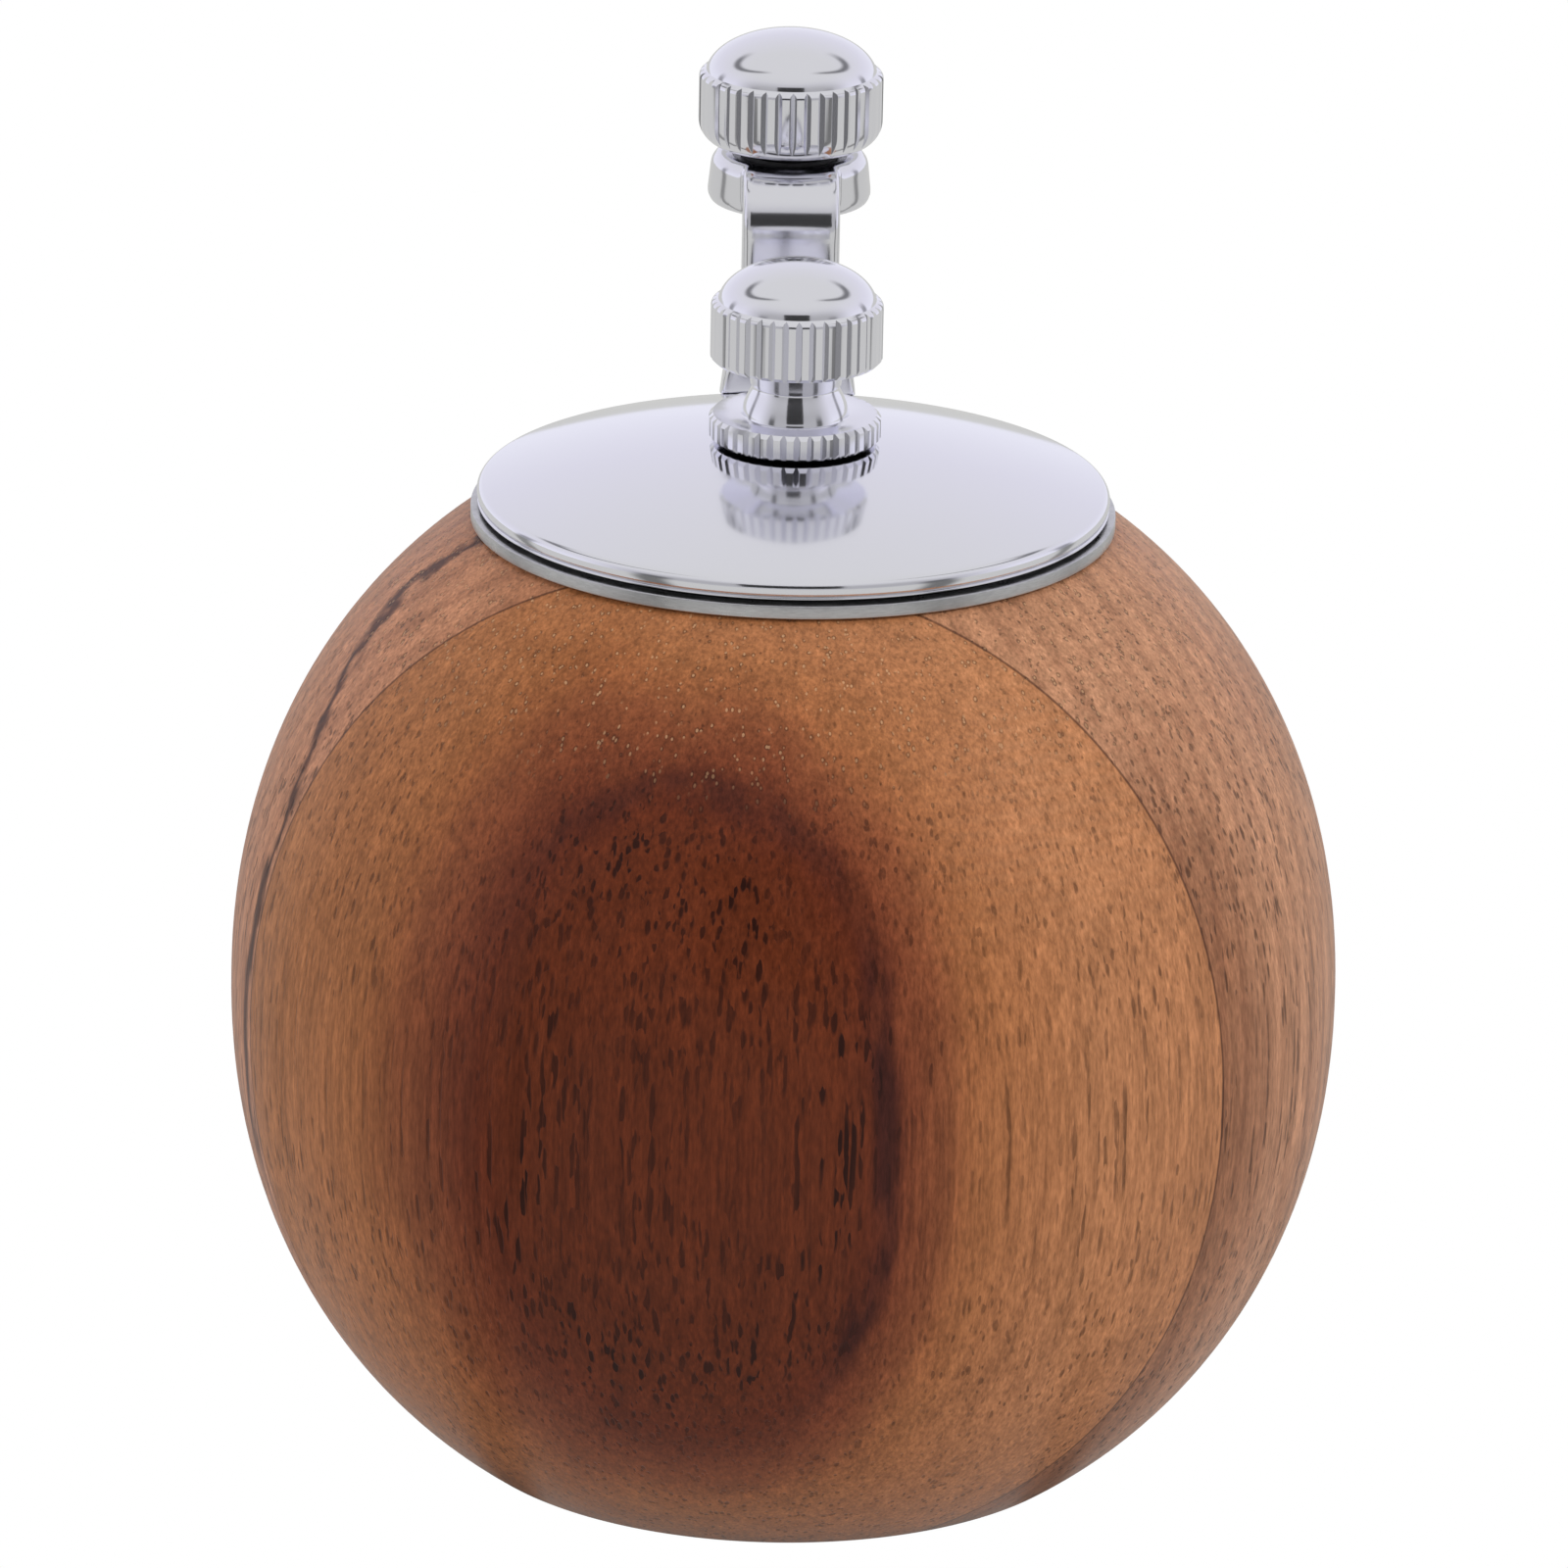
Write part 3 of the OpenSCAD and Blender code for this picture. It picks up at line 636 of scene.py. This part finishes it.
class MILL_OT_ring(bpy.types.Operator):
    """Turn the steel seat ring that the lid stands on"""
    bl_idname = "mill.ring"
    bl_label = "Seat ring"

    def execute(self, context):
        sleeve_in, sleeve_out = 16.0, 16.98
        rim_width, rim_height = 1.17, 0.4
        recess, shelf = RING_RADIUS - rim_width, RING_TOP_Z - rim_height
        outline = [
            (sleeve_in, SLEEVE_LOW_Z), (sleeve_out, SLEEVE_LOW_Z), (sleeve_out, BODY_TOP_Z),
            (RING_RADIUS, BODY_TOP_Z), (RING_RADIUS, RING_TOP_Z), (recess, RING_TOP_Z),
            (recess, shelf), (sleeve_in, shelf), (sleeve_in, SLEEVE_LOW_Z)]
        piece = turn("seat_ring_turned", outline, context.scene.mill_sizes.turning_steps)
        soften(piece, 0.08)
        smooth(piece)
        material = worn_steel("ring_steel", (0.66, 0.66, 0.67), 0.30, 1.4, (1, 1, 9))
        hand_over(piece, "seat_ring", "root", material)
        return {"FINISHED"}


class MILL_OT_lid(bpy.types.Operator):
    """Press the domed lid"""
    bl_idname = "mill.lid"
    bl_label = "Lid"

    def execute(self, context):
        edge, rounding, metal, hole = LID_RADIUS, 0.67, 0.9, LID_HOLE_RADIUS
        skirt_in = edge - 1.0
        centre_r = edge - rounding
        centre_z = DOME_CENTRE_Z + math.sqrt((DOME_RADIUS - rounding) ** 2 - centre_r ** 2)
        tangent = math.degrees(math.atan2(centre_z - DOME_CENTRE_Z, centre_r))

        def shell(radius, start_r, end_r, steps):
            start = math.degrees(math.acos(start_r / radius))
            end = math.degrees(math.acos(end_r / radius))
            return arc((0, DOME_CENTRE_Z), radius, start, end, steps)

        # a small lip below, and above it a wall that leans in a little
        lip = [(0.10, 0), (0.05, 0.05), (0.05, 0.10), (0.13, 0.14), (0.10, 0.24),
               (0.05, 0.40), (0.012, 0.56)]
        outline = [(skirt_in, LID_RIM_Z)] + [(edge - dr, LID_RIM_Z + dz) for dr, dz in lip]
        outline += arc((centre_r, centre_z), rounding, 0, tangent, 10)
        outline += shell(DOME_RADIUS, DOME_RADIUS * math.cos(math.radians(tangent)), hole, 44)[1:]
        outline += shell(DOME_RADIUS - metal, hole, skirt_in, 24)
        outline.append(outline[0])
        piece = turn("lid_pressed", outline, context.scene.mill_sizes.turning_steps)
        smooth(piece)
        hand_over(piece, "lid", "crank", bpy.data.materials["chrome"])
        return {"FINISHED"}


class MILL_OT_nut(bpy.types.Operator):
    """Turn and knurl the adjusting nut"""
    bl_idname = "mill.nut"
    bl_label = "Adjusting nut"

    def execute(self, context):
        sizes = context.scene.mill_sizes
        radius, chamfer, thread, thread_top = 6.15, 0.28, 2.05, NUT_Z + 9.5
        flange_top, cap_low, cap_high = NUT_Z + 1.85, NUT_Z + 5.83, NUT_Z + 10.23
        outline = [(0, thread_top), (thread, thread_top), (thread, NUT_Z),
                   (radius - chamfer, NUT_Z), (radius, NUT_Z + chamfer),
                   (radius, flange_top - chamfer), (radius - chamfer, flange_top)]
        # the neck narrows to its waist, and widens again below the cap
        waist, swell, waist_rise, steps = 3.08, 0.80, 2.1, 12
        for i in range(steps + 1):
            u = i / steps
            outline.append((waist + swell * (1 - u ** 1.5) ** 1.2, flange_top + waist_rise * u))
        outline += [(waist + 0.16, flange_top + 2.22), (waist + 0.20, flange_top + 2.5),
                    (waist + 0.26, cap_low - 0.6), (waist + 0.42, cap_low),
                    (radius - chamfer, cap_low), (radius, cap_low + chamfer)]
        outline += knurled_top(radius, sizes.tooth_depth / MM, cap_high, NUT_TOP_Z)
        piece = turn("adjusting_nut_turned", outline, sizes.turning_steps)
        soften(piece, 0.06, 2, 50)
        knurl(piece, radius * MM, sizes.tooth_depth, NUT_Z - 1, NUT_TOP_Z + 1, sizes.tooth_count)
        smooth(piece, 28)
        hand_over(piece, "adjusting_nut", "nut", bpy.data.materials["chrome"])
        return {"FINISHED"}


class MILL_OT_knob(bpy.types.Operator):
    """Turn and knurl the crank's knob"""
    bl_idname = "mill.knob"
    bl_label = "Crank knob"

    def execute(self, context):
        sizes = context.scene.mill_sizes
        radius, bore, bore_top, edge = 6.75, 4.2, KNOB_Z + 5.2, 1.9
        band_low, band_high = KNOB_Z + 1.95, KNOB_Z + 5.5
        outline = [(0, bore_top), (bore, bore_top), (bore, KNOB_Z), (4.8, KNOB_Z)]
        outline += arc((radius - edge, band_low), edge, -75, 0, 10)
        outline += knurled_top(radius, sizes.tooth_depth / MM, band_high, KNOB_TOP_Z)
        piece = turn("crank_knob_turned", outline, sizes.turning_steps)
        knurl(piece, radius * MM, sizes.tooth_depth, KNOB_Z - 1, KNOB_TOP_Z + 1, sizes.tooth_count)
        shift(piece, (0, CRANK_Y * MM, 0))
        smooth(piece, 28)
        hand_over(piece, "crank_knob", "knob", bpy.data.materials["chrome"])
        return {"FINISHED"}


class MILL_OT_crank(bpy.types.Operator):
    """Cast the crank: a flared foot, an upright arm that bends back, and a pad"""
    bl_idname = "mill.crank"
    bl_label = "Crank"

    def execute(self, context):
        sizes = context.scene.mill_sizes
        front, thick, half_foot, half_arm = 19.2, 3.0, 5.075, 3.55
        foot_z, foot_h, bend_r = 71.5, 8.5, 4.2
        bend = (front + bend_r, PAD_TOP_Z - bend_r - 0.1)
        right = [(half_foot, foot_z), (half_foot - 0.3, foot_z + 2.4),
                 (half_foot - 0.8, foot_z + 4.4), (half_arm, foot_z + foot_h)]
        left = [(-x, z) for x, z in reversed(right)]
        foot = right + left + right[:1]
        piece = cut_plate("crank_arm_cast", foot, "Y", front, front + thick)
        soften(piece, 0.55, 3, 50)
        side = [(front + thick, foot_z + 4), (front, foot_z + 4)]
        side += arc(bend, bend_r, 180, 90, 16)
        side += [(CRANK_Y, PAD_TOP_Z - 0.1), (CRANK_Y, PAD_TOP_Z - 0.1 - thick)]
        side += arc(bend, bend_r - thick, 90, 180, 10)
        side.append(side[0])
        strap = cut_plate("strap", side, "X", -half_arm, half_arm)
        soften(strap, 0.55, 3, 60)
        combine(piece, strap, "UNION")

        pad_height, edge, pin = 3.75, 6.0, 1.9
        low = PAD_TOP_Z - pad_height
        outline = [(pin, low), (edge - 0.25, low), (edge, low + 0.6),
                   (edge - 0.25, PAD_TOP_Z - 0.75), (edge - 0.8, PAD_TOP_Z),
                   (pin, PAD_TOP_Z), (pin, low)]
        pad = turn("pad", outline, 96)
        shift(pad, (0, CRANK_Y * MM, 0))
        combine(piece, pad, "UNION")

        # its foot fits the lid's dome
        deselect()
        bpy.ops.mesh.primitive_uv_sphere_add(
            segments=256, ring_count=256, radius=DOME_RADIUS * MM,
            location=(0, 0, DOME_CENTRE_Z * MM))
        ball = bpy.context.object
        combine(piece, ball, "DIFFERENCE")
        apply_modifier(piece, "REMESH", mode="VOXEL", voxel_size=sizes.cast_grain)
        apply_modifier(piece, "SMOOTH", factor=0.5, iterations=12)
        activate(piece)
        bpy.ops.object.shade_smooth()
        hand_over(piece, "crank_arm", "crank", bpy.data.materials["chrome_cast"])
        return {"FINISHED"}


class MILL_OT_spring(bpy.types.Operator):
    """Wind the spring as one fixed coil; the real one shortens when the grinding cone is set
    closer
    """
    bl_idname = "mill.spring"
    bl_label = "Spring"

    def execute(self, context):
        turns, steps, washer_coil = 4.5, 216, 1.3
        coil = SPRING_RADIUS - SPRING_WIRE
        low, high = SPRING_LOW_Z + SPRING_WIRE, SPRING_TOP_Z - SPRING_WIRE
        deselect()
        bpy.ops.mesh.primitive_circle_add(
            vertices=12, radius=SPRING_WIRE * MM, rotation=(math.pi / 2, 0, 0),
            location=(coil * MM, 0, low * MM))
        piece = bpy.context.object
        piece.name = piece.data.name = "spring_wound"
        bpy.ops.object.transform_apply(location=True, rotation=True, scale=True)
        apply_modifier(piece, "SCREW", axis="Z", angle=turns * 2 * math.pi,
                       screw_offset=(high - low) * MM, steps=steps, render_steps=steps)
        bpy.ops.object.mode_set(mode="EDIT")
        bpy.ops.mesh.select_all(action="SELECT")
        bpy.ops.mesh.fill_holes(sides=0)
        mend()
        smooth(piece, 50)
        piece.data.materials.clear()
        piece.data.materials.append(bpy.data.materials["spring_steel"])
        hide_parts("spring")
        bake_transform(piece)
        return {"FINISHED"}


class MILL_OT_finishes(bpy.types.Operator):
    """Make the metals and the plastic, and finish the pieces that keep their shape"""
    bl_idname = "mill.finishes"
    bl_label = "Finishes"

    def execute(self, context):
        finish = context.scene.mill_finish
        chrome_colour = tuple(finish.chrome_colour)
        cast_colour = [c * 0.76 for c in chrome_colour]
        steel = tuple(finish.steel_colour)
        metals = {
            "chrome": chrome("chrome", chrome_colour, 0.000002, 0.25, 0.004),
            "chrome_cast": chrome("chrome_cast", cast_colour, 0.00006, 0.5, 0.04),
            "steel": worn_steel("steel", steel, 0.28, 2.0),
            "spring_steel": worn_steel("spring_steel", (0.50, 0.50, 0.52), 0.22, 3.0),
            "burr_steel": worn_steel("burr_steel", (0.30, 0.30, 0.31), 0.42, 1.6),
            "black_plastic": moulded_plastic("black_plastic", tuple(finish.plastic_colour)),
        }
        for part in frame["record"]["subparts"]:
            material = metals.get(part["material_slot"])
            if material is None:
                continue
            for slot in frame["nodes"][part["node"]].material_slots:
                slot.material = material
        return {"FINISHED"}


class MILL_OT_studio(bpy.types.Operator):
    """Set up the pale floor, the soft light and the camera"""
    bl_idname = "mill.studio"
    bl_label = "Studio"

    def execute(self, context):
        studio = context.scene.mill_studio
        centre = Vector((0, 0, BODY_WAIST_Z * MM))
        azimuth, tilt, roll = math.radians(1.6), math.radians(19.05), math.radians(1.2)
        level = Vector((math.sin(azimuth), math.cos(azimuth), 0))
        right = Vector((math.cos(azimuth), -math.sin(azimuth), 0))
        forward = level * math.cos(tilt) - Vector((0, 0, math.sin(tilt)))
        up = right.cross(forward)
        towards = -level * math.cos(studio.camera_elevation)
        towards.z = math.sin(studio.camera_elevation)
        rolled_right = right * math.cos(roll) + up * math.sin(roll)
        rolled_up = up * math.cos(roll) - right * math.sin(roll)
        bpy.ops.object.camera_add()
        camera = context.object
        camera.name = "camera"
        camera.matrix_world = Matrix.Translation(
            centre + towards * studio.camera_distance - right * 0.24 * MM
        ) @ Matrix((rolled_right, rolled_up, -forward)).transposed().to_4x4()
        camera.data.lens = 270
        camera.data.sensor_width = 36
        camera.data.clip_start = 0.01
        context.scene.camera = camera

        self.floor()
        self.world(context)
        self.light("key", (0.50, -0.45, 0.62), centre, 0.45, studio.key_power)
        self.light("top", (0.05, 0.05, 0.80), centre, 0.60, studio.key_power * 0.35)
        self.light("left", (-0.70, -0.30, 0.30), centre, 0.50, studio.key_power * 0.5)
        self.card(camera)
        context.scene.view_settings.view_transform = "Standard"
        return {"FINISHED"}

    def light(self, name, place, target, size, power):
        """A soft light, which the polished metal doesn't show."""
        bpy.ops.object.light_add(type="AREA", location=place)
        lamp = bpy.context.object
        lamp.name = name
        lamp.rotation_euler = (target - Vector(place)).to_track_quat("-Z", "Y").to_euler()
        lamp.data.size = size
        lamp.data.energy = power
        lamp.visible_glossy = False

    def flags(self, nodes, x, y):
        """Where the dark flags stand on both sides of the camera, as polished metal shows them."""
        near_angle, far_angle = math.radians(52), math.radians(112)
        angle = nodes.math("ABSOLUTE", nodes.math("ARCTAN2", x, nodes.math("MULTIPLY", y, -1.0)))
        near = nodes.math("ABSOLUTE", nodes.math("SUBTRACT", angle, near_angle))
        far = nodes.math("ABSOLUTE", nodes.math("SUBTRACT", angle, far_angle))
        return nodes.math("MAXIMUM", nodes.remap(near, 0.05, 0.17, 0.80, 0.0),
                          nodes.remap(far, 0.04, 0.12, 0.65, 0.0))

    def floor(self):
        """White to the camera, a grey paper to the polished metal, and clear from below."""
        deselect()
        bpy.ops.mesh.primitive_plane_add(size=6)
        floor = bpy.context.object
        floor.name = "floor"
        material, nodes, shader = new_material("studio_floor")
        shader.inputs["Base Color"].default_value = (0.80, 0.80, 0.82, 1)
        shader.inputs["Roughness"].default_value = 0.7
        path = nodes.add("ShaderNodeLightPath").outputs
        where = nodes.add("ShaderNodeTexCoord").outputs["Object"]
        x, y, _ = nodes.add("ShaderNodeSeparateXYZ", {0: where}).outputs
        paper = nodes.mix(self.flags(nodes, x, y), (0.63, 0.63, 0.615, 1), (0.07, 0.07, 0.07, 1))
        mirrored = nodes.add("ShaderNodeEmission", {"Color": paper, "Strength": 1.0})
        white = nodes.add("ShaderNodeEmission", {"Color": (1, 1, 1, 1), "Strength": 1.0})
        in_metal = nodes.add("ShaderNodeMixShader", {
            0: path["Is Glossy Ray"], 1: shader.outputs[0], 2: mirrored.outputs[0]})
        mixed = nodes.add("ShaderNodeMixShader", {
            0: path["Is Camera Ray"], 1: in_metal.outputs[0], 2: white.outputs[0]})
        below = nodes.add("ShaderNodeNewGeometry").outputs["Backfacing"]
        clear = nodes.add("ShaderNodeBsdfTransparent")
        sided = nodes.add("ShaderNodeMixShader", {
            0: below, 1: mixed.outputs[0], 2: clear.outputs[0]})
        output = material.node_tree.nodes["Material Output"]
        nodes.feed(output.inputs["Surface"], sided.outputs[0])
        floor.data.materials.append(material)

    def world(self, context):
        """A white tent around the mill, with what the polished metal shows of it."""
        world = bpy.data.worlds.new("studio_light")
        context.scene.world = world
        world.use_nodes = True
        nodes = Nodes(world.node_tree)
        world.node_tree.nodes.clear()
        direction = nodes.add("ShaderNodeTexCoord").outputs["Generated"]
        x, y, z = nodes.add("ShaderNodeSeparateXYZ", {0: direction}).outputs
        tent = nodes.ramp(nodes.remap(z, 0.0, 1.0, 0.0, 1.0, "LINEAR"), [
            (0.0, (0.88, 0.88, 0.98, 1)), (0.34, (0.79, 0.78, 0.87, 1)),
            (0.83, (0.73, 0.73, 0.74, 1))])
        # the side towards the camera is dimmer low down
        dim = nodes.math("MULTIPLY", nodes.remap(y, 0.0, -0.7), nodes.remap(z, 0.92, 0.38))
        tent = nodes.mix(nodes.math("MULTIPLY", dim, 0.80), tent, (0.38, 0.38, 0.38, 1))
        # the seam around the oval roof of the tent
        roof = nodes.math("SQRT", nodes.math(
            "ADD", nodes.math("POWER", nodes.math("DIVIDE", x, 0.64), 2.0),
            nodes.math("POWER", nodes.math("DIVIDE", nodes.math("SUBTRACT", y, 0.27), 0.42), 2.0)))
        seam = nodes.math("ABSOLUTE", nodes.math("SUBTRACT", roof, 1.0))
        seam = nodes.math("MULTIPLY", nodes.remap(seam, 0.02, 0.12, 0.85, 0.0),
                          nodes.remap(z, 0.1, 0.3))
        seam = nodes.math("MULTIPLY", seam, nodes.remap(nodes.math("ABSOLUTE", x), 0.25, 0.5))
        tent = nodes.mix(seam, tent, (0.10, 0.10, 0.11, 1))
        tent = nodes.mix(nodes.math("MULTIPLY", self.flags(nodes, x, y),
                                    nodes.remap(z, 0.45, 0.15)), tent, (0.05, 0.05, 0.05, 1))
        path = nodes.add("ShaderNodeLightPath").outputs
        colour = nodes.mix(path["Is Glossy Ray"], (0.66, 0.65, 0.64, 1), tent)
        colour = nodes.mix(path["Is Camera Ray"], colour, (1, 1, 1, 1))
        back = nodes.add("ShaderNodeBackground", {"Color": colour, "Strength": 1.0})
        output = nodes.add("ShaderNodeOutputWorld")
        nodes.feed(output.inputs["Surface"], back.outputs[0])

    def card(self, camera):
        """A dark card by the camera, which only the polished metal shows."""
        deselect()
        bpy.ops.mesh.primitive_plane_add(size=1)
        card = bpy.context.object
        card.name = "dark_card"
        bpy.ops.object.mode_set(mode="EDIT")
        bpy.ops.transform.resize(value=(0.56, 0.46, 1))
        bpy.ops.object.mode_set(mode="OBJECT")
        card.matrix_world = camera.matrix_world @ Matrix.Translation((0, 0.09, 0.05))
        material, _, shader = new_material("dark_card")
        shader.inputs["Base Color"].default_value = (0.02, 0.02, 0.02, 1)
        card.data.materials.append(material)
        card.visible_camera = False
        card.visible_diffuse = False
        card.visible_shadow = False


class MILL_PT_panel(bpy.types.Panel):
    """Lists the steps that build the mill"""
    bl_idname = "MILL_PT_panel"
    bl_label = "Pepper Mill"
    bl_space_type = "VIEW_3D"
    bl_region_type = "UI"
    bl_category = "Pepper Mill"

    def draw(self, context):
        layout = self.layout
        for group in (context.scene.mill_sizes, context.scene.mill_finish,
                      context.scene.mill_studio):
            box = layout.box()
            for key in group.__annotations__:
                box.prop(group, key)
        for step in STEPS:
            layout.operator(step.bl_idname)


STEPS = (MILL_OT_finishes, MILL_OT_boards, MILL_OT_ring, MILL_OT_lid, MILL_OT_nut,
         MILL_OT_knob, MILL_OT_crank, MILL_OT_spring, MILL_OT_studio)
CLASSES = (MillSizes, MillFinish, MillStudio, *STEPS, MILL_PT_panel)


def register():
    for item in CLASSES:
        bpy.utils.register_class(item)
    scene = bpy.types.Scene
    scene.mill_sizes = bpy.props.PointerProperty(type=MillSizes)
    scene.mill_finish = bpy.props.PointerProperty(type=MillFinish)
    scene.mill_studio = bpy.props.PointerProperty(type=MillStudio)


def unregister():
    for name in ("mill_sizes", "mill_finish", "mill_studio"):
        delattr(bpy.types.Scene, name)
    for item in reversed(CLASSES):
        bpy.utils.unregister_class(item)


def main():
    register()
    bpy.ops.mill.finishes()
    bpy.ops.mill.boards()
    bpy.ops.mill.ring()
    bpy.ops.mill.lid()
    bpy.ops.mill.nut()
    bpy.ops.mill.knob()
    bpy.ops.mill.crank()
    bpy.ops.mill.spring()
    bpy.ops.mill.studio()


if __name__ == "__main__":
    main()
